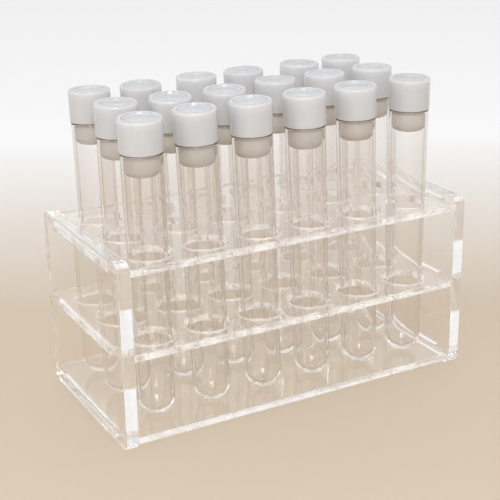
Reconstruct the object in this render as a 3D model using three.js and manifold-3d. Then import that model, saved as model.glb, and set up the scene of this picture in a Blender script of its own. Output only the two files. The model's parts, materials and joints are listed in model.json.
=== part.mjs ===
// A clear acrylic rack with eighteen capped, round-bottomed test tubes.
// Millimetres. +Z is up, +X runs along the rack, and -Y is the rack's front.
// The origin is the middle of the rack's footprint, on the surface that it stands on.
// The rack is five cut sheets: two end panels and three shelves, whose tabs pass through
// slots in the panels. Each tube stands on the bottom shelf and leans a little, because
// the holes in the two upper shelves are wider than the tube. Each cap pushes in.
import * as THREE from "three";
import { mergeVertices } from "three/addons/utils/BufferGeometryUtils.js";
import Module from "manifold-3d";

const wasm = await Module();
wasm.setup();

// Clearance kept between pieces that touch on the real object.
const GAP = 0.3;

// Rack
const RACK_LENGTH = 146;
const RACK_DEPTH = 71.4;
const RACK_HEIGHT = 70.7;
const PANEL_THICKNESS = 4.7;
const PANEL_CORNER_RADIUS = 3.5;
const SHELF_THICKNESS = 2.8;
const BOTTOM_SHELF_UNDERSIDE = 2.3;
const MIDDLE_SHELF_UNDERSIDE = 34.1;
const TOP_SHELF_UNDERSIDE = 65.6;
const TAB_WIDTH = 52;

// Grid of holes
const COLUMNS = 6;
const ROWS = 3;
const PITCH_X = 22;
const PITCH_Y = 22.5;
const GRID_SHIFT_X = -0.6;
const HOLE_DIAMETER = 17;

// Test tube, a nominal 15 x 100
const TUBE_LENGTH = 100;
const TUBE_MOUTH_DIAMETER = 14.9;
const TUBE_BASE_DIAMETER = 13.8;
const TUBE_WALL = 1;
const TUBE_LIP_CHAMFER = 0.3;

// Cap: a head wider than the tube, with a dished top, and a plug that goes into the mouth
const HEAD_HEIGHT = 11.9;
const HEAD_LOWER_DIAMETER = 15.5;
const HEAD_UPPER_DIAMETER = 15.6;
const HEAD_RIM_RADIUS = 0.9;
const RECESS_DIAMETER = 13.2;
const RECESS_DEPTH = 1.2;
const RECESS_DRAFT = 0.3;
const PLUG_LENGTH = 8;
const PLUG_DIAMETER = 12.1;
const PLUG_CHAMFER = 0.7;

// Number of flat sides on a round piece.
const SIDES = 16;

// A loose tube leans against opposite sides of its two holes: its axis is this far from the
// centre of its hole, towards its lean in the top shelf and away from it in the middle shelf.
const TOP_PLAY = 0.8;
const MIDDLE_PLAY = 0.3;

// The way that each tube leans. Each row runs from the left column to the right one.
const LEANS = {
  front: ["front-left", "left", "left", "left", "left", "upright"],
  middle: ["upright", "front-left", "front-left", "back", "back", "back"],
  back: ["back", "left", "back", "back-left", "back-right", "back"],
};

function acrylic() {
  return new THREE.MeshStandardMaterial({
    color: 0xece8e4,
    roughness: 0.06,
    metalness: 0,
    transparent: true,
    opacity: 0.35,
  });
}

function tubePlastic() {
  return new THREE.MeshStandardMaterial({
    color: 0xe6e0d8,
    roughness: 0.05,
    metalness: 0,
    transparent: true,
    opacity: 0.3,
  });
}

function capPlastic() {
  return new THREE.MeshStandardMaterial({ color: 0xdcdcde, roughness: 0.4, metalness: 0 });
}

// A geometry as a closed solid that can be cut.
function toSolid(geometry) {
  const bare = geometry.clone();
  bare.deleteAttribute("normal");
  bare.deleteAttribute("uv");
  const merged = mergeVertices(bare);
  return new wasm.Manifold(
    new wasm.Mesh({
      numProp: 3,
      vertProperties: new Float32Array(merged.attributes.position.array),
      triVerts: new Uint32Array(merged.index.array),
    }),
  );
}

function toGeometry(solid) {
  const mesh = solid.getMesh();
  const geometry = new THREE.BufferGeometry();
  geometry.setAttribute("position", new THREE.BufferAttribute(mesh.vertProperties, 3));
  geometry.setIndex(new THREE.BufferAttribute(mesh.triVerts, 1));
  geometry.computeVertexNormals();
  return geometry;
}

// A box from its lowest corner and its size.
function boxSolid(x, y, z, length, depth, height) {
  const box = new THREE.BoxGeometry(length, depth, height);
  box.translate(x + length / 2, y + depth / 2, z + height / 2);
  return toSolid(box);
}

// A solid turned about the Z axis. The profile's points are [radius, height].
function turned(profile) {
  const points = profile.map(([radius, height]) => new THREE.Vector2(radius, height));
  return new THREE.LatheGeometry(points, SIDES).rotateX(Math.PI / 2);
}

// Points of an arc in a profile, both ends included. Angles are in degrees from level.
function arc(centreRadius, centreHeight, radius, fromDegrees, toDegrees, steps) {
  const points = [];
  for (let step = 0; step <= steps; step += 1) {
    const angle = THREE.MathUtils.degToRad(
      fromDegrees + ((toDegrees - fromDegrees) * step) / steps,
    );
    points.push([
      Math.max(0, centreRadius + radius * Math.cos(angle)),
      centreHeight + radius * Math.sin(angle),
    ]);
  }
  return points;
}

function holeCentre(column, row) {
  return new THREE.Vector2(
    GRID_SHIFT_X + (column - (COLUMNS - 1) / 2) * PITCH_X,
    (row - (ROWS - 1) / 2) * PITCH_Y,
  );
}

const SHELF_UNDERSIDES = [BOTTOM_SHELF_UNDERSIDE, MIDDLE_SHELF_UNDERSIDE, TOP_SHELF_UNDERSIDE];

// The outline of an end panel, as seen along X: a rectangle with rounded corners.
function panelOutline() {
  const half = RACK_DEPTH / 2;
  const radius = PANEL_CORNER_RADIUS;
  const outline = new THREE.Shape();
  outline.moveTo(-half + radius, 0);
  outline.absarc(half - radius, radius, radius, -Math.PI / 2, 0, false);
  outline.absarc(half - radius, RACK_HEIGHT - radius, radius, 0, Math.PI / 2, false);
  outline.absarc(-half + radius, RACK_HEIGHT - radius, radius, Math.PI / 2, Math.PI, false);
  outline.absarc(-half + radius, radius, radius, Math.PI, Math.PI * 1.5, false);
  return outline;
}

// An end panel, with a slot for each shelf's tab. Its outer face is at the end of the rack.
function endPanel(name, outerFaceX) {
  const innerSign = -Math.sign(outerFaceX);
  const sheet = new THREE.ExtrudeGeometry(panelOutline(), {
    depth: PANEL_THICKNESS,
    bevelEnabled: false,
    curveSegments: 5,
  });
  // Stand the sheet up: its outline's axes become Y and Z, and its thickness runs along X.
  sheet.rotateX(Math.PI / 2);
  sheet.rotateZ(Math.PI / 2);
  const lowX = Math.min(outerFaceX, outerFaceX + innerSign * PANEL_THICKNESS);
  sheet.translate(lowX, 0, 0);
  let solid = toSolid(sheet);
  for (const underside of SHELF_UNDERSIDES) {
    const slot = boxSolid(
      lowX - 1,
      -TAB_WIDTH / 2 - GAP,
      underside - GAP,
      PANEL_THICKNESS + 2,
      TAB_WIDTH + 2 * GAP,
      SHELF_THICKNESS + 2 * GAP,
    );
    solid = solid.subtract(slot);
  }
  const mesh = new THREE.Mesh(toGeometry(solid), acrylic());
  mesh.name = name;
  return mesh;
}

// A round cutter whose flat sides touch the hole's true circle from outside.
function holeCutter(centre, underside) {
  const radius = HOLE_DIAMETER / 2 / Math.cos(Math.PI / SIDES);
  const cutter = new THREE.CylinderGeometry(radius, radius, SHELF_THICKNESS + 2, SIDES);
  cutter.rotateX(Math.PI / 2);
  cutter.translate(centre.x, centre.y, underside + SHELF_THICKNESS / 2);
  return toSolid(cutter);
}

// A shelf: a sheet between the end panels, with a tab at each end.
function shelf(name, underside, drilled) {
  const bodyLength = RACK_LENGTH - 2 * (PANEL_THICKNESS + GAP);
  let solid = boxSolid(
    -bodyLength / 2,
    -RACK_DEPTH / 2,
    underside,
    bodyLength,
    RACK_DEPTH,
    SHELF_THICKNESS,
  );
  solid = solid.add(
    boxSolid(-RACK_LENGTH / 2, -TAB_WIDTH / 2, underside, RACK_LENGTH, TAB_WIDTH, SHELF_THICKNESS),
  );
  for (let row = 0; drilled && row < ROWS; row += 1) {
    for (let column = 0; column < COLUMNS; column += 1) {
      solid = solid.subtract(holeCutter(holeCentre(column, row), underside));
    }
  }
  const mesh = new THREE.Mesh(toGeometry(solid), acrylic());
  mesh.name = name;
  return mesh;
}

// A tube: a cup with a hemispherical bottom and a slight taper. Its lowest point is at z = 0.
function tube(name) {
  const base = TUBE_BASE_DIAMETER / 2;
  const mouth = TUBE_MOUTH_DIAMETER / 2;
  const profile = [
    ...arc(0, base, base, -90, 0, 4),
    [mouth, TUBE_LENGTH - TUBE_LIP_CHAMFER],
    [mouth - TUBE_LIP_CHAMFER, TUBE_LENGTH],
    [mouth - TUBE_WALL, TUBE_LENGTH],
    ...arc(0, base, base - TUBE_WALL, 0, -90, 3),
  ];
  const mesh = new THREE.Mesh(turned(profile), tubePlastic());
  mesh.name = name;
  return mesh;
}

// A cap, seated on the mouth of the tube that shares its axis.
function cap(name) {
  const flange = TUBE_LENGTH + GAP;
  const top = flange + HEAD_HEIGHT;
  const plug = PLUG_DIAMETER / 2;
  const upper = HEAD_UPPER_DIAMETER / 2;
  const recess = RECESS_DIAMETER / 2;
  const profile = [
    [0, flange - PLUG_LENGTH],
    [plug - PLUG_CHAMFER, flange - PLUG_LENGTH],
    [plug, flange - PLUG_LENGTH + PLUG_CHAMFER],
    [plug, flange],
    [HEAD_LOWER_DIAMETER / 2, flange],
    ...arc(upper - HEAD_RIM_RADIUS, top - HEAD_RIM_RADIUS, HEAD_RIM_RADIUS, 0, 90, 2),
    [recess, top],
    [recess - RECESS_DRAFT, top - RECESS_DEPTH],
    [0, top - RECESS_DEPTH],
  ];
  const mesh = new THREE.Mesh(turned(profile), capPlastic());
  mesh.name = name;
  return mesh;
}

// A horizontal direction from its name: a side of the rack, two sides joined, or upright.
function leanDirection(name) {
  const sides = { left: [-1, 0], right: [1, 0], front: [0, -1], back: [0, 1], upright: [0, 0] };
  const direction = new THREE.Vector3();
  for (const side of name.split("-")) {
    direction.x += sides[side][0];
    direction.y += sides[side][1];
  }
  return direction.normalize();
}

// A tube and its cap, standing on the bottom shelf and leaning in their two holes.
function tubeWithCap(rowName, row, column, lean) {
  const centre = holeCentre(column, row);
  const direction = leanDirection(lean);
  const middleZ = MIDDLE_SHELF_UNDERSIDE + SHELF_THICKNESS / 2;
  const topZ = TOP_SHELF_UNDERSIDE + SHELF_THICKNESS / 2;
  const middle = new THREE.Vector3(centre.x, centre.y, middleZ);
  middle.addScaledVector(direction, -MIDDLE_PLAY);
  const top = new THREE.Vector3(centre.x, centre.y, topZ);
  top.addScaledVector(direction, TOP_PLAY);
  const axis = top.clone().sub(middle).normalize();
  const footZ = BOTTOM_SHELF_UNDERSIDE + SHELF_THICKNESS + GAP;
  const group = new THREE.Group();
  group.position.copy(middle).addScaledVector(axis, (footZ - middleZ) / axis.z);
  group.quaternion.setFromUnitVectors(new THREE.Vector3(0, 0, 1), axis);
  const place = `${rowName}_${column + 1}`;
  group.add(tube(`tube_${place}`));
  group.add(cap(`cap_${place}`));
  return group;
}

const rack = new THREE.Group();
rack.add(endPanel("left_end_panel", -RACK_LENGTH / 2));
rack.add(endPanel("right_end_panel", RACK_LENGTH / 2));
rack.add(shelf("bottom_shelf", BOTTOM_SHELF_UNDERSIDE, false));
rack.add(shelf("middle_shelf", MIDDLE_SHELF_UNDERSIDE, true));
rack.add(shelf("top_shelf", TOP_SHELF_UNDERSIDE, true));

const group = new THREE.Group();
group.add(rack);
Object.entries(LEANS).forEach(([rowName, leans], row) => {
  leans.forEach((lean, column) => {
    group.add(tubeWithCap(rowName, row, column, lean));
  });
});

export default group;
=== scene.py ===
"""Looks for the clear acrylic rack and its eighteen capped test tubes. Metres, +Z up."""
import json
import math
import random

import bmesh
import bpy
from mathutils import Matrix, Vector


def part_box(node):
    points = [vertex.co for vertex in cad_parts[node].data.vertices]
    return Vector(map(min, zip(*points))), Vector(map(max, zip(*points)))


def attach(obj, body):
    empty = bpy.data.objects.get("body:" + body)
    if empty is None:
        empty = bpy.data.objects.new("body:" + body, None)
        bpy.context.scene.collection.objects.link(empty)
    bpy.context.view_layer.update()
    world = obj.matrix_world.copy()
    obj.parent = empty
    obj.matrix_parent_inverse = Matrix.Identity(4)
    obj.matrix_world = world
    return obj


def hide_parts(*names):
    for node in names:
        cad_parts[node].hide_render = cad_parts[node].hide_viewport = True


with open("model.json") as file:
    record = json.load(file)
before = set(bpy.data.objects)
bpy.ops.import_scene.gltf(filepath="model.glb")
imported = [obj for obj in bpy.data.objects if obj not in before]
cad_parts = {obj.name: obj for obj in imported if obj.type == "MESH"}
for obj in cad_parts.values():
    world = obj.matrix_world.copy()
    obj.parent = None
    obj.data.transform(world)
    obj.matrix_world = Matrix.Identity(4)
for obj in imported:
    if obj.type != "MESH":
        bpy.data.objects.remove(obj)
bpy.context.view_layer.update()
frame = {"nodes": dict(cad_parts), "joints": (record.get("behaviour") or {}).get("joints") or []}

MM = 0.001

# ---------------------------------------------------------------- driving dimensions
# Grid of holes and tubes, as the CAD model has it.
ROW_NAMES = ("front", "middle", "back")
COLUMNS = 6
PITCH_X = 22 * MM
PITCH_Y = 22.5 * MM
GRID_SHIFT_X = -0.6 * MM
HOLE_RADIUS = 8.5 * MM
PANEL_CORNER_RADIUS = 3.5 * MM

# Visible air gap in a cemented joint, and the eased edge of a cut sheet, with its support ring.
JOINT_GAP = 0.03 * MM
SHEET_EDGE = 0.25 * MM
EASE_STEPS = 4
SUPPORT = 0.05 * MM
HOLE_SEGMENTS = 72
CORNER_STEPS = 12
SLOT_CORNERS = 4

# Points closer than this count as being in one plane, and radii under ON_AXIS as being on the axis.
IN_PLANE = 0.01 * MM
ON_AXIS = 1e-7

# A face lies level when its normal's Z is above this, up or down.
LEVEL = 0.999

# Edges that turn by more degrees than this are shaded sharp, on turned pieces and on sheets.
TURNED_SHARP = 38
SHEET_SHARP = 40

# Rings up a straight wall: shares of its height, and one this far from each end.
WALL_SHARES = (0.02, 0.25, 0.5, 0.75, 0.98)
WALL_END = 0.15 * MM

# Tube
TUBE_BASE_RADIUS = 6.9 * MM
TUBE_WALL = 1.0 * MM
TUBE_SEGMENTS = 96
FOOT_THICKNESS = 1.7 * MM
SWIRL_HEIGHT = 5.5 * MM
GATE_RADIUS = 1.1 * MM
GATE_HEIGHT = 0.2 * MM

# Cap, from the head down to the plug
HEAD_LOWER_RADIUS = 7.75 * MM
HEAD_UPPER_RADIUS = 7.8 * MM
HEAD_FILLET = 0.9 * MM
HEAD_LOWER_FILLET = 0.3 * MM
RECESS_RADIUS = 6.3 * MM
RECESS_DEPTH = 1.2 * MM
RECESS_DRAFT = 0.45 * MM
LIP_FILLET = 0.3 * MM
FLOOR_FILLET = 0.6 * MM
NUB_RADIUS = 0.9 * MM
NUB_HEIGHT = 0.25 * MM
NUB_FOOT = 0.4 * MM
# Depth of the cap's top that takes the darker copy of its material: painted shade.
SHADED_TOP_DEPTH = 0.5 * MM
TOP_CLEARANCE = 0.01 * MM
FLANGE_GAP = 0.05 * MM
# Height of the painted shadow under the head, and its reach in from the head's side.
PAINTED_SHADOW_HEIGHT = 0.3 * MM
NECK_HEIGHT = 1.2 * MM
NECK_STEP = 0.42 * MM
NECK_CHAMFER = 0.2 * MM
PLUG_LENGTH = 8.0 * MM
PLUG_CLEARANCE = 0.04 * MM
NOSE_RADIUS = 2.4 * MM
CAP_SEGMENTS = 96

# The hollow under the plug: its depth, then points of its side, as (inward of the nose, height).
HOLLOW_DEPTH = 0.9 * MM
HOLLOW_SIDE = ((1.0 * MM, 0.8 * MM), (0.4 * MM, 0.1 * MM))

# The parting line's height, where it runs, and the radius beyond which only the head's side lies.
PARTING_LINE = 0.07 * MM
PARTING_STEP = 11
PARTING_REACH = 7.6 * MM

# Places of the extra materials on a tube and on a cap.
FOOT_INDEX = 1
PLUG_SHADE_INDEX = 1
PAINTED_SHADOW_INDEX = 2
SHADED_TOP_INDEX = 3

# Places of the materials on a sheet.
FACE_INDEX = 0
EDGE_INDEX = 1
EASE_INDEX = 2

# Each tube and cap is turned about its own axis by up to this, in radians.
LARGEST_SPIN = 6.28
SPIN_SEED = 7

# Camera: where it looks from, in degrees, and how far away.
CAMERA_AZIMUTH = -28.7
CAMERA_ELEVATION = 20.24
CAMERA_ROLL = -0.91
CAMERA_DISTANCE = 466 * MM
CAMERA_AIM = Vector((-2.9 * MM, 0, 52.0 * MM))
CAMERA_LENS = 86.3

# Floor, in metres: warm near the object, and fading to white over these distances behind it.
FLOOR_RADIUS = 4
FLOOR_DROP = 0.1 * MM
FLOOR_NEAR = (0.60, 0.50, 0.385)
FLOOR_FAR = (0.96, 0.96, 0.96)
FLOOR_FADE = (0.06, 0.34)

# The plain backdrop that the camera sees.
BACKDROP = (0.90, 0.905, 0.91)

# The lamps face a point this high above the middle of the floor.
LAMP_AIM_HEIGHT = 0.06
LAMP_WARM = (1.0, 0.99, 0.98)
LAMP_COOL = (0.98, 0.99, 1.0)


# ---------------------------------------------------------------- studio
def direction(azimuth, elevation):
    """The way from the object out to this azimuth and elevation, in degrees."""
    around = math.radians(azimuth)
    up = math.radians(elevation)
    level = math.cos(up)
    return Vector((math.sin(around) * level, -math.cos(around) * level, math.sin(up)))


def view_direction():
    return direction(CAMERA_AZIMUTH, CAMERA_ELEVATION)


def make_camera():
    data = bpy.data.cameras.new("camera")
    data.lens = CAMERA_LENS
    data.sensor_width = 36
    data.clip_start = 0.01
    data.clip_end = 20
    camera = bpy.data.objects.new("camera", data)
    bpy.context.scene.collection.objects.link(camera)
    back = view_direction()
    turn = (-back).to_track_quat("-Z", "Y").to_matrix().to_4x4()
    roll = Matrix.Rotation(math.radians(CAMERA_ROLL), 4, "Z")
    camera.matrix_world = Matrix.Translation(CAMERA_AIM + back * CAMERA_DISTANCE) @ turn @ roll
    bpy.context.scene.camera = camera


def make_softbox(name, azimuth, elevation, distance, size, power, colour):
    """A rectangular area light that faces the middle of the object. Its size is (width, height)."""
    data = bpy.data.lights.new(name, "AREA")
    data.shape = "RECTANGLE"
    data.size = size[0]
    data.size_y = size[1]
    data.energy = power
    data.color = colour
    lamp = bpy.data.objects.new(name, data)
    bpy.context.scene.collection.objects.link(lamp)
    out = direction(azimuth, elevation)
    turn = out.to_track_quat("Z", "Y").to_matrix().to_4x4()
    lamp.matrix_world = Matrix.Translation(Vector((0, 0, LAMP_AIM_HEIGHT)) + out * distance) @ turn


def make_world():
    """The camera sees a plain pale backdrop, and all other rays a soft room, darker near its floor."""
    world = bpy.data.worlds.new("studio")
    bpy.context.scene.world = world
    world.use_nodes = True
    nodes = world.node_tree.nodes
    links = world.node_tree.links
    nodes.clear()
    where = nodes.new("ShaderNodeTexCoord")
    axes = nodes.new("ShaderNodeSeparateXYZ")
    links.new(where.outputs["Generated"], axes.inputs[0])
    room = nodes.new("ShaderNodeValToRGB")
    room.color_ramp.interpolation = "EASE"
    stops = (
        (0.0, (0.60, 0.57, 0.54)),
        (0.05, (0.55, 0.52, 0.50)),
        (0.12, (1.05, 1.05, 1.05)),
        (0.50, (0.95, 0.95, 0.96)),
        (0.85, (0.80, 0.80, 0.81)),
    )
    for index, (place, colour) in enumerate(stops):
        if index > 1:
            room.color_ramp.elements.new(place)
        room.color_ramp.elements[index].position = place
        room.color_ramp.elements[index].color = (*colour, 1)
    links.new(axes.outputs["Z"], room.inputs[0])
    seen = nodes.new("ShaderNodeLightPath")
    pale = nodes.new("ShaderNodeBackground")
    pale.inputs["Color"].default_value = (*BACKDROP, 1)
    rest = nodes.new("ShaderNodeBackground")
    links.new(room.outputs[0], rest.inputs["Color"])
    mix = nodes.new("ShaderNodeMixShader")
    links.new(seen.outputs["Is Camera Ray"], mix.inputs[0])
    links.new(rest.outputs[0], mix.inputs[1])
    links.new(pale.outputs[0], mix.inputs[2])
    out = nodes.new("ShaderNodeOutputWorld")
    links.new(mix.outputs[0], out.inputs["Surface"])


def make_floor():
    mesh = bpy.data.meshes.new("floor")
    shape = bmesh.new()
    bmesh.ops.create_circle(shape, cap_ends=True, segments=128, radius=FLOOR_RADIUS)
    shape.to_mesh(mesh)
    shape.free()
    floor = bpy.data.objects.new("floor", mesh)
    floor.location.z = -FLOOR_DROP
    bpy.context.scene.collection.objects.link(floor)
    tree, shader = new_material("floor_paint")
    shader.inputs["Roughness"].default_value = 0.7
    where = tree.nodes.new("ShaderNodeTexCoord")
    behind = tree.nodes.new("ShaderNodeVectorMath")
    behind.operation = "DOT_PRODUCT"
    front = view_direction()
    behind.inputs[1].default_value = (-front.x, -front.y, 0)
    tree.links.new(where.outputs["Object"], behind.inputs[0])
    colour = shader.inputs["Base Color"]
    set_ramp(tree, behind.outputs["Value"], colour, FLOOR_NEAR, FLOOR_FAR, *FLOOR_FADE)
    mesh.materials.append(bpy.data.materials["floor_paint"])


def make_studio():
    scene = bpy.context.scene
    scene.view_settings.view_transform = "Standard"
    scene.cycles.max_bounces = 40
    scene.cycles.transmission_bounces = 40
    scene.cycles.glossy_bounces = 40
    scene.cycles.diffuse_bounces = 5
    scene.cycles.transparent_max_bounces = 64
    scene.cycles.caustics_reflective = False
    scene.cycles.caustics_refractive = False
    make_camera()
    make_world()
    make_floor()
    make_softbox("key_left", -37, 37, 0.85, size=(0.14, 0.36), power=1.6, colour=LAMP_WARM)
    make_softbox("key_right", -22, 37, 0.85, size=(0.14, 0.36), power=1.6, colour=LAMP_WARM)
    make_softbox("window", -80, 36, 1.0, size=(0.10, 0.50), power=0.6, colour=LAMP_COOL)


# ---------------------------------------------------------------- material helpers
def new_material(name):
    """A new material with one Principled node. Returns its tree and that node."""
    material = bpy.data.materials.new(name)
    material.use_nodes = True
    tree = material.node_tree
    tree.nodes.clear()
    shader = tree.nodes.new("ShaderNodeBsdfPrincipled")
    out = tree.nodes.new("ShaderNodeOutputMaterial")
    tree.links.new(shader.outputs[0], out.inputs["Surface"])
    return tree, shader


def noise(tree, scale, detail=2.0, stretch=(1, 1, 1), distortion=0.0):
    """A noise texture's value, in object space, stretched along each axis."""
    where = tree.nodes.new("ShaderNodeTexCoord")
    mapping = tree.nodes.new("ShaderNodeMapping")
    mapping.inputs["Scale"].default_value = stretch
    tree.links.new(where.outputs["Object"], mapping.inputs["Vector"])
    texture = tree.nodes.new("ShaderNodeTexNoise")
    texture.inputs["Scale"].default_value = scale
    texture.inputs["Detail"].default_value = detail
    texture.inputs["Distortion"].default_value = distortion
    tree.links.new(mapping.outputs[0], texture.inputs["Vector"])
    return texture.outputs["Fac"]


def set_range(tree, value, socket, low, high, start=0.3, end=0.7):
    """Drives a number socket from a value between start and end."""
    span = tree.nodes.new("ShaderNodeMapRange")
    span.inputs["From Min"].default_value = start
    span.inputs["From Max"].default_value = end
    span.inputs["To Min"].default_value = low
    span.inputs["To Max"].default_value = high
    tree.links.new(value, span.inputs["Value"])
    tree.links.new(span.outputs[0], socket)


def set_ramp(tree, value, socket, low, high, start=0.3, end=0.7):
    """Drives a colour socket from a value between start and end."""
    ramp = tree.nodes.new("ShaderNodeValToRGB")
    ramp.color_ramp.elements[0].position = start
    ramp.color_ramp.elements[0].color = (*low, 1)
    ramp.color_ramp.elements[1].position = end
    ramp.color_ramp.elements[1].color = (*high, 1)
    tree.links.new(value, ramp.inputs[0])
    tree.links.new(ramp.outputs[0], socket)


def add_bump(tree, shader, value, distance, strength=1.0):
    """Adds a bump of this real height, on top of any bump already there."""
    bump = tree.nodes.new("ShaderNodeBump")
    bump.inputs["Distance"].default_value = distance
    bump.inputs["Strength"].default_value = strength
    tree.links.new(value, bump.inputs["Height"])
    if shader.inputs["Normal"].is_linked:
        tree.links.new(shader.inputs["Normal"].links[0].from_socket, bump.inputs["Normal"])
    tree.links.new(bump.outputs[0], shader.inputs["Normal"])


def let_light_through(tree, shader, tint):
    """Lamps and soft light pass through the piece, tinted at each surface, as through clear plastic."""
    path = tree.nodes.new("ShaderNodeLightPath")
    clear = tree.nodes.new("ShaderNodeBsdfTransparent")
    clear.inputs["Color"].default_value = (*tint, 1)
    surface = shader.outputs[0]
    for ray in ("Is Shadow Ray", "Is Diffuse Ray"):
        mix = tree.nodes.new("ShaderNodeMixShader")
        tree.links.new(path.outputs[ray], mix.inputs[0])
        tree.links.new(surface, mix.inputs[1])
        tree.links.new(clear.outputs[0], mix.inputs[2])
        surface = mix.outputs[0]
    out = next(n for n in tree.nodes if n.type == "OUTPUT_MATERIAL")
    tree.links.new(surface, out.inputs["Surface"])


def grazing(tree):
    """0 where a surface faces the eye, 1 at its outline: the mask for the shade painted at a clear tube's
    outline.
    """
    weight = tree.nodes.new("ShaderNodeLayerWeight")
    weight.inputs["Blend"].default_value = 0.5
    return weight.outputs["Facing"]


# ---------------------------------------------------------------- materials
def make_acrylic_face():
    """Polished clear acrylic: faint smudges and hairline scratches."""
    tree, shader = new_material("acrylic_face")
    shader.inputs["Base Color"].default_value = (0.982, 0.975, 0.965, 1)
    shader.inputs["Transmission Weight"].default_value = 1
    shader.inputs["IOR"].default_value = 1.49
    smudge = noise(tree, scale=45, detail=4, distortion=0.6)
    set_range(tree, smudge, shader.inputs["Roughness"], 0.0, 0.04, 0.45, 0.8)
    scratch = noise(tree, scale=90, detail=5, stretch=(1, 14, 1), distortion=0.3)
    add_bump(tree, shader, scratch, 0.004 * MM, 0.5)
    wave = noise(tree, scale=28, detail=0)
    add_bump(tree, shader, wave, 0.02 * MM, 0.3)
    let_light_through(tree, shader, (0.985, 0.983, 0.98))


def make_acrylic_edge(name, clearest, palest):
    """A sawn and polished edge: its transmission varies from clearest to palest, as cutter marks."""
    tree, shader = new_material(name)
    mottle = noise(tree, scale=110, detail=3, distortion=0.8)
    set_ramp(tree, mottle, shader.inputs["Base Color"], (0.93, 0.92, 0.91), (1.0, 1.0, 1.0), 0.35, 0.62)
    set_range(tree, mottle, shader.inputs["Transmission Weight"], clearest, palest, 0.40, 0.60)
    shader.inputs["IOR"].default_value = 1.49
    set_range(tree, mottle, shader.inputs["Roughness"], 0.15, 0.08, 0.35, 0.65)
    wave = noise(tree, scale=130, detail=1)
    add_bump(tree, shader, wave, 0.012 * MM, 0.5)
    let_light_through(tree, shader, (0.97, 0.968, 0.965))


def make_acrylic_ease():
    """The scraped corner of a cut: finely frosted, so it catches the light as a pale line."""
    tree, shader = new_material("acrylic_ease")
    scrape = noise(tree, scale=40, detail=2)
    set_ramp(tree, scrape, shader.inputs["Base Color"], (0.96, 0.955, 0.95), (1.0, 1.0, 1.0))
    shader.inputs["Transmission Weight"].default_value = 0.85
    shader.inputs["IOR"].default_value = 1.49
    set_range(tree, scrape, shader.inputs["Roughness"], 0.22, 0.30)
    let_light_through(tree, shader, (0.95, 0.948, 0.945))


def make_tube_plastic(name, outline, swirl):
    """Clear moulded polystyrene: faint flow lines along the tube, and a warm painted shade that darkens
    its outline.
    """
    tree, shader = new_material(name)
    # Painted shade: the base colour turns warm and dark towards the outline.
    set_ramp(tree, grazing(tree), shader.inputs["Base Color"], (0.960, 0.950, 0.942), outline, 0.58, 0.93)
    shader.inputs["Transmission Weight"].default_value = 1
    shader.inputs["IOR"].default_value = 1.57
    haze = noise(tree, scale=120, detail=3, stretch=(1, 1, 0.12))
    set_range(tree, haze, shader.inputs["Roughness"], 0.0, 0.03, 0.5, 0.8)
    flow = noise(tree, scale=220, detail=1, stretch=(1, 1, 0.02))
    add_bump(tree, shader, flow, 0.002 * MM, 0.4)
    if swirl:
        eddy = noise(tree, scale=380, detail=1, distortion=1.2)
        add_bump(tree, shader, eddy, swirl, 0.5)
    let_light_through(tree, shader, (0.985, 0.98, 0.975))


def make_cap_plastic(name, low, high, gloss):
    """Soft translucent polyethylene: a satin skin over a milky body."""
    tree, shader = new_material(name)
    cloud = noise(tree, scale=45, detail=1)
    set_ramp(tree, cloud, shader.inputs["Base Color"], low, high)
    shader.inputs["Subsurface Weight"].default_value = 1.0
    shader.inputs["Subsurface Radius"].default_value = (1.0, 0.95, 0.9)
    shader.inputs["Subsurface Scale"].default_value = 6 * MM
    shader.inputs["IOR"].default_value = 1.51
    satin = noise(tree, scale=45, detail=1)
    set_range(tree, satin, shader.inputs["Roughness"], *gloss)
    ripple = noise(tree, scale=110, detail=0, stretch=(1, 1, 0.15))
    add_bump(tree, shader, ripple, 0.008 * MM, 0.3)


def make_cap_plug_painted_shade():
    """The cap's plug: the same polyethylene, letting the colours behind it through, in a warm beige
    unlike the head's cool white: painted shade for its place inside the tube, under the head.
    """
    tree, shader = new_material("cap_plug_painted_shade")
    cloud = noise(tree, scale=60, detail=1)
    set_ramp(tree, cloud, shader.inputs["Base Color"], (0.70, 0.675, 0.645), (0.75, 0.725, 0.695))
    shader.inputs["Transmission Weight"].default_value = 0.6
    shader.inputs["IOR"].default_value = 1.2
    satin = noise(tree, scale=60, detail=1)
    set_range(tree, satin, shader.inputs["Roughness"], 0.36, 0.42)
    let_light_through(tree, shader, (0.7, 0.69, 0.67))


def make_cap_painted_shadow():
    """Painted shadow: a dark ring painted under the head, where the cap sits on the tube's mouth, in
    place of the shade in the gap.
    """
    tree, shader = new_material("cap_painted_shadow")
    shade = noise(tree, scale=150, detail=2)
    set_ramp(tree, shade, shader.inputs["Base Color"], (0.10, 0.085, 0.075), (0.17, 0.15, 0.135))
    shader.inputs["Roughness"].default_value = 0.6


# ---------------------------------------------------------------- mesh helpers
def arc(centre_radius, centre_height, radius, start, end, steps):
    """Points of an arc in a profile, both ends included. Angles are in degrees from level."""
    points = []
    for step in range(steps + 1):
        angle = math.radians(start + (end - start) * step / steps)
        points.append((
            max(0.0, centre_radius + radius * math.cos(angle)),
            centre_height + radius * math.sin(angle),
        ))
    return points


def add_materials(mesh, *names):
    for name in names:
        mesh.materials.append(bpy.data.materials[name])


def finish_mesh(name, shape, sharp_degrees, flat=()):
    """Turns a bmesh into a shaded mesh, with edges sharper than the angle left sharp."""
    bmesh.ops.recalc_face_normals(shape, faces=shape.faces)
    for face in shape.faces:
        face.smooth = True
    for face in flat:
        face.smooth = False
    for edge in shape.edges:
        edge.smooth = len(edge.link_faces) != 2 or edge.calc_face_angle() < math.radians(sharp_degrees)
    mesh = bpy.data.meshes.new(name)
    shape.to_mesh(mesh)
    shape.free()
    return mesh


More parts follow.
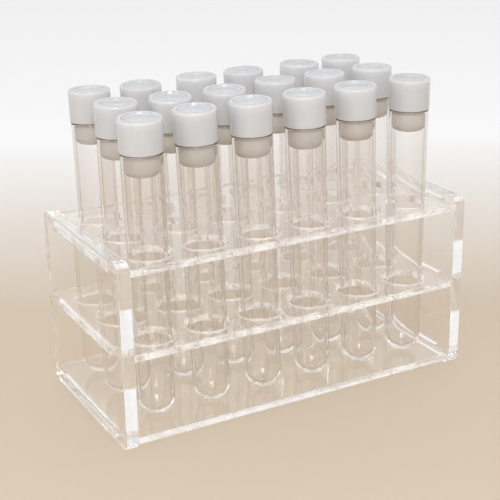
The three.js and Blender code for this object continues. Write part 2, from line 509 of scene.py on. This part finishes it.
def turned(name, profile, segments, relief=None):
    """A closed mesh turned about Z. The profile starts and ends on the axis."""
    shape = bmesh.new()
    rings = []
    for radius, height in profile:
        if radius < ON_AXIS:
            rings.append([shape.verts.new((0, 0, height))])
            continue
        ring = []
        for step in range(segments):
            reach = radius + (relief(step, radius) if relief else 0)
            angle = 2 * math.pi * step / segments
            ring.append(shape.verts.new((reach * math.cos(angle), reach * math.sin(angle), height)))
        rings.append(ring)
    for lower, upper in zip(rings, rings[1:]):
        for step in range(segments):
            after = (step + 1) % segments
            if len(lower) == 1:
                shape.faces.new((lower[0], upper[step], upper[after]))
            elif len(upper) == 1:
                shape.faces.new((lower[step], upper[0], lower[after]))
            else:
                shape.faces.new((lower[step], lower[after], upper[after], upper[step]))
    return finish_mesh(name, shape, TURNED_SHARP)


def moved_in(loop, distance):
    """The loop moved into the material, which is on its left."""
    moved = []
    for before, here, after in zip(loop[-1:] + loop[:-1], loop, loop[1:] + loop[:1]):
        arriving = (here - before).normalized()
        leaving = (after - here).normalized()
        left = Vector((-arriving.y - leaving.y, arriving.x + leaving.x))
        moved.append(here + left * (distance / (1 + arriving.dot(leaving))))
    return moved


def edge_profile(thickness):
    """(height, inset) pairs up a cut sheet's edge, with both corners eased.

    A support ring next to each corner keeps the shading of the wall between them level.
    """
    angles = [math.radians(90 * step / EASE_STEPS) for step in range(EASE_STEPS + 1)]
    lower = [(SHEET_EDGE * (1 - math.cos(a)), SHEET_EDGE * (1 - math.sin(a))) for a in angles]
    lower.append((SHEET_EDGE + SUPPORT, 0.0))
    return lower + [(thickness - up, inset) for up, inset in reversed(lower)]


def sheet(name, outline, holes, thickness, edge):
    """A cut sheet in the XY plane, up to z = thickness, with this material on its cut edge.

    The outline runs anticlockwise and the holes clockwise. Every edge is eased at both faces, and
    the eased part is frosted except in slots, which are the loops with four corners.
    """
    shape = bmesh.new()
    ends = ([], [])
    for loop in [outline, *holes]:
        first_face = len(shape.faces)
        rings = [
            [shape.verts.new((p.x, p.y, height)) for p in moved_in(loop, inset)]
            for height, inset in edge_profile(thickness)
        ]
        for lower, upper in zip(rings, rings[1:]):
            for here in range(len(loop)):
                after = (here + 1) % len(loop)
                shape.faces.new((lower[here], lower[after], upper[after], upper[here]))
        shape.faces.ensure_lookup_table()
        for face in shape.faces[first_face:]:
            height = face.calc_center_median().z
            eased = height < SHEET_EDGE or height > thickness - SHEET_EDGE
            frosted = eased and len(loop) != SLOT_CORNERS
            face.material_index = EASE_INDEX if frosted else EDGE_INDEX
        for end, ring in zip(ends, (rings[0], rings[-1])):
            for here in range(len(loop)):
                end.append(shape.edges.get((ring[here], ring[(here + 1) % len(loop)])))
    for end in ends:
        bmesh.ops.triangle_fill(shape, use_beauty=True, use_dissolve=False, edges=end)
    shape.normal_update()
    flat = [face for face in shape.faces if abs(face.normal.z) > LEVEL]
    for face in flat:
        face.material_index = FACE_INDEX
    mesh = finish_mesh(name, shape, SHEET_SHARP, flat)
    add_materials(mesh, "acrylic_face", edge, "acrylic_ease")
    return mesh


def place(mesh, matrix, body, slot, node):
    """Makes a piece from a mesh, in place of a CAD node. Its place is in its mesh."""
    mesh.transform(matrix)
    piece = bpy.data.objects.new(mesh.name, mesh)
    bpy.context.scene.collection.objects.link(piece)
    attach(piece, body)
    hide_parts(node)


# ---------------------------------------------------------------- rack
def rounded_rectangle(low, high, radius, steps):
    """An anticlockwise rectangle with round corners."""
    corners = (
        (high.x - radius, low.y + radius, -90),
        (high.x - radius, high.y - radius, 0),
        (low.x + radius, high.y - radius, 90),
        (low.x + radius, low.y + radius, 180),
    )
    points = []
    for x, y, start in corners:
        for step in range(steps + 1):
            angle = math.radians(start + 90 * step / steps)
            points.append(Vector((x + radius * math.cos(angle), y + radius * math.sin(angle))))
    return points


def rectangle_hole(low, high):
    """A clockwise rectangle."""
    return [low, Vector((low.x, high.y)), high, Vector((high.x, low.y))]


def round_hole(centre, radius):
    """A clockwise circle."""
    points = []
    for step in range(HOLE_SEGMENTS):
        angle = -2 * math.pi * step / HOLE_SEGMENTS
        points.append(centre + Vector((math.cos(angle), math.sin(angle))) * radius)
    return points


def tab_half_width():
    """Half the width of a shelf's tab, read from the CAD shelf."""
    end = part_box("middle_shelf")[1].x
    shelf = frame["nodes"]["middle_shelf"].data
    return max(v.co.y for v in shelf.vertices if v.co.x > end - IN_PLANE)


def make_end_panel(node):
    """The panel's outline is drawn in (Y, Z), and its sheet then stands up along X."""
    low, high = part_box(node)
    outline = rounded_rectangle(
        Vector((low.y, low.z)), Vector((high.y, high.z)), PANEL_CORNER_RADIUS, CORNER_STEPS,
    )
    half = tab_half_width() + JOINT_GAP
    slots = []
    for shelf in ("bottom_shelf", "middle_shelf", "top_shelf"):
        under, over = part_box(shelf)
        slots.append(rectangle_hole(
            Vector((-half, under.z - JOINT_GAP)),
            Vector((half, over.z + JOINT_GAP)),
        ))
    mesh = sheet(f"{node}_sheet", outline, slots, high.x - low.x, "acrylic_edge")
    stand_up = Matrix(((0, 0, 1, low.x), (1, 0, 0, 0), (0, 1, 0, 0), (0, 0, 0, 1)))
    place(mesh, stand_up, "rack", "acrylic", node)


def make_shelf(node, drilled):
    """A shelf between the end panels, with a tab at each end that goes through its slot."""
    low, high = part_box(node)
    tab = tab_half_width()
    body = -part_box("left_end_panel")[1].x - JOINT_GAP
    outline = [Vector(p) for p in (
        (-body, low.y), (body, low.y), (body, -tab), (high.x, -tab),
        (high.x, tab), (body, tab), (body, high.y), (-body, high.y),
        (-body, tab), (low.x, tab), (low.x, -tab), (-body, -tab),
    )]
    holes = []
    if drilled:
        for row in range(len(ROW_NAMES)):
            for column in range(COLUMNS):
                centre = Vector((
                    GRID_SHIFT_X + (column - (COLUMNS - 1) / 2) * PITCH_X,
                    (row - (len(ROW_NAMES) - 1) / 2) * PITCH_Y,
                ))
                holes.append(round_hole(centre, HOLE_RADIUS))
    mesh = sheet(f"{node}_sheet", outline, holes, high.z - low.z, "acrylic_cut")
    place(mesh, Matrix.Translation((0, 0, low.z)), "rack", "acrylic", node)


# ---------------------------------------------------------------- tubes and caps
class Seat:
    """Where one tube stands: its foot, its axis and its sizes, read from the CAD tube."""

    def __init__(self, place_name):
        joint = next(j for j in frame["joints"] if j["name"] == f"tube_lift_{place_name}")
        self.axis = Vector(joint["axis"]).normalized()
        points = [v.co for v in frame["nodes"][f"tube_{place_name}"].data.vertices]
        self.foot = min(points, key=lambda p: p.dot(self.axis)).copy()
        heights = [(p - self.foot).dot(self.axis) for p in points]
        reaches = [(p - self.foot - self.axis * h).length for p, h in zip(points, heights)]
        self.length = max(heights)
        self.mouth_radius = max(reaches)
        cap = [v.co for v in frame["nodes"][f"cap_{place_name}"].data.vertices]
        self.cap_top = max((p - self.foot).dot(self.axis) for p in cap) - TOP_CLEARANCE

    def matrix(self, spin):
        turn = self.axis.to_track_quat("Z", "Y").to_matrix().to_4x4()
        return Matrix.Translation(self.foot) @ turn @ Matrix.Rotation(spin, 4, "Z")


def wall(low_radius, high_radius, low, high):
    """A straight tapered wall, with rings close to both ends to keep its shading straight."""
    end = WALL_END / (high - low)
    places = (end, *WALL_SHARES, 1 - end)
    return [(low_radius + (high_radius - low_radius) * t, low + (high - low) * t) for t in places]


def foot_inside(inner, base):
    """The inside of the round foot, which is thicker than the wall at its lowest point."""
    depth = base - FOOT_THICKNESS
    rounded = arc(0, base, inner, 0, -90, 16)
    return [(radius, base + (height - base) * depth / inner) for radius, height in rounded]


def tube_profile(length, mouth):
    """Up the outside of the tube from the gate mark under its foot, over the lip and down inside."""
    base = TUBE_BASE_RADIUS
    inner = base - TUBE_WALL
    lip = TUBE_WALL / 2
    return [
        (0, -GATE_HEIGHT),
        (GATE_RADIUS * 0.8, -GATE_HEIGHT),
        (GATE_RADIUS, -GATE_HEIGHT * 0.6),
        *arc(0, base, base, -80, 0, 20),
        *wall(base, mouth, base, length - lip),
        *arc(mouth - lip, length - lip, lip, 0, 180, 10),
        *reversed(wall(inner, mouth - TUBE_WALL, base, length - lip)),
        *foot_inside(inner, base),
    ]


def cap_profile(length, top, mouth):
    """From the hollow under the plug, up its side and the head's, and in to the middle of the top."""
    flange = length + FLANGE_GAP
    bore = mouth - TUBE_WALL
    neck = bore - NECK_STEP
    plug = bore - PLUG_CLEARANCE
    plug_end = flange - PLUG_LENGTH
    recess_floor = top - RECESS_DEPTH
    nose = plug - NOSE_RADIUS
    fillet = HEAD_LOWER_FILLET
    corner = RECESS_RADIUS - RECESS_DRAFT - FLOOR_FILLET
    return [
        (0, plug_end + HOLLOW_DEPTH),
        *((nose - inward, plug_end + height) for inward, height in HOLLOW_SIDE),
        *arc(nose, plug_end + NOSE_RADIUS, NOSE_RADIUS, -90, 0, 12),
        *wall(plug, plug, plug_end + NOSE_RADIUS, flange - NECK_HEIGHT - NECK_CHAMFER),
        *wall(neck, neck, flange - NECK_HEIGHT, flange - NECK_CHAMFER),
        (neck + NECK_CHAMFER, flange),
        *arc(HEAD_LOWER_RADIUS - fillet, flange + fillet, fillet, -90, 0, 5),
        *wall(HEAD_LOWER_RADIUS, HEAD_UPPER_RADIUS, flange + fillet + SUPPORT, top - HEAD_FILLET),
        *arc(HEAD_UPPER_RADIUS - HEAD_FILLET, top - HEAD_FILLET, HEAD_FILLET, 0, 90, 10),
        *arc(RECESS_RADIUS + LIP_FILLET, top - LIP_FILLET, LIP_FILLET, 90, 172, 6),
        *arc(corner, recess_floor + FLOOR_FILLET, FLOOR_FILLET, -8, -90, 8),
        (NUB_RADIUS + NUB_FOOT, recess_floor),
        (NUB_RADIUS + NUB_FOOT / 4, recess_floor + NUB_FOOT / 8),
        *arc(NUB_RADIUS - NUB_HEIGHT, recess_floor, NUB_HEIGHT, 15, 90, 6),
        (0, recess_floor + NUB_HEIGHT * 1.04),
    ]


def parting_line(step, radius):
    """A fine raised line down each side of the cap's head, where its mould halves met."""
    on_line = step % (CAP_SEGMENTS // 2) == PARTING_STEP
    return PARTING_LINE if on_line and radius > PARTING_REACH else 0


def make_tube(place_name, seat, spin):
    """A clear tube, with its foot's faces in the foot's own material."""
    profile = tube_profile(seat.length, seat.mouth_radius)
    tube = turned(f"tube_{place_name}_body", profile, TUBE_SEGMENTS)
    add_materials(tube, "tube_clear", "tube_foot")
    for face in tube.polygons:
        if face.center.z < SWIRL_HEIGHT:
            face.material_index = FOOT_INDEX
    place(tube, seat.matrix(spin), f"tube_{place_name}", "tube_plastic", f"tube_{place_name}")


def make_cap(place_name, seat, spin):
    """A cap, with its plug, the painted shadow under its head and its top in materials of their own; the
    plug's and the top's materials are painted shade, the top's a darker copy of the side's.
    """
    profile = cap_profile(seat.length, seat.cap_top, seat.mouth_radius)
    cap = turned(f"cap_{place_name}_body", profile, CAP_SEGMENTS, parting_line)
    add_materials(cap, "cap_white", "cap_plug_painted_shade", "cap_painted_shadow", "cap_top")
    painted_shadow_top = seat.length + FLANGE_GAP + PAINTED_SHADOW_HEIGHT
    for face in cap.polygons:
        height = face.center.z
        # The plug takes a warm beige material of its own: painted shade.
        if height < seat.length - NECK_HEIGHT:
            face.material_index = PLUG_SHADE_INDEX
        # A ring under the head takes a dark material: a painted shadow in the gap over the tube's mouth.
        elif height < painted_shadow_top and face.center.xy.length > HEAD_LOWER_RADIUS - PAINTED_SHADOW_HEIGHT:
            face.material_index = PAINTED_SHADOW_INDEX
        # The top takes a darker copy of the cap's material: painted shade on the face that gets the light
        # from above.
        elif height > seat.cap_top - SHADED_TOP_DEPTH:
            face.material_index = SHADED_TOP_INDEX
    place(cap, seat.matrix(spin), f"cap_{place_name}", "cap_plastic", f"cap_{place_name}")


# ---------------------------------------------------------------- build
make_studio()
make_acrylic_face()
make_acrylic_edge("acrylic_edge", clearest=1.0, palest=0.97)
make_acrylic_edge("acrylic_cut", clearest=0.95, palest=0.6)
make_acrylic_ease()
# The painted shade at the outline: dark brown along the tube, paler on its foot.
make_tube_plastic("tube_clear", outline=(0.15, 0.115, 0.085), swirl=0)
make_tube_plastic("tube_foot", outline=(0.45, 0.40, 0.35), swirl=0.02 * MM)
make_cap_plastic("cap_white", low=(0.555, 0.565, 0.585), high=(0.585, 0.595, 0.615), gloss=(0.17, 0.21))
# cap_top is a darker copy of cap_white: painted shade for the cap's top, which faces the light from
# above.
make_cap_plastic("cap_top", low=(0.45, 0.45, 0.46), high=(0.48, 0.48, 0.49), gloss=(0.09, 0.13))
make_cap_plug_painted_shade()
make_cap_painted_shadow()
make_end_panel("left_end_panel")
make_end_panel("right_end_panel")
make_shelf("bottom_shelf", drilled=False)
make_shelf("middle_shelf", drilled=True)
make_shelf("top_shelf", drilled=True)
spins = random.Random(SPIN_SEED)
for row_name in ROW_NAMES:
    for column in range(1, COLUMNS + 1):
        place_name = f"{row_name}_{column}"
        seat = Seat(place_name)
        make_tube(place_name, seat, spins.uniform(0, LARGEST_SPIN))
        make_cap(place_name, seat, spins.uniform(0, LARGEST_SPIN))
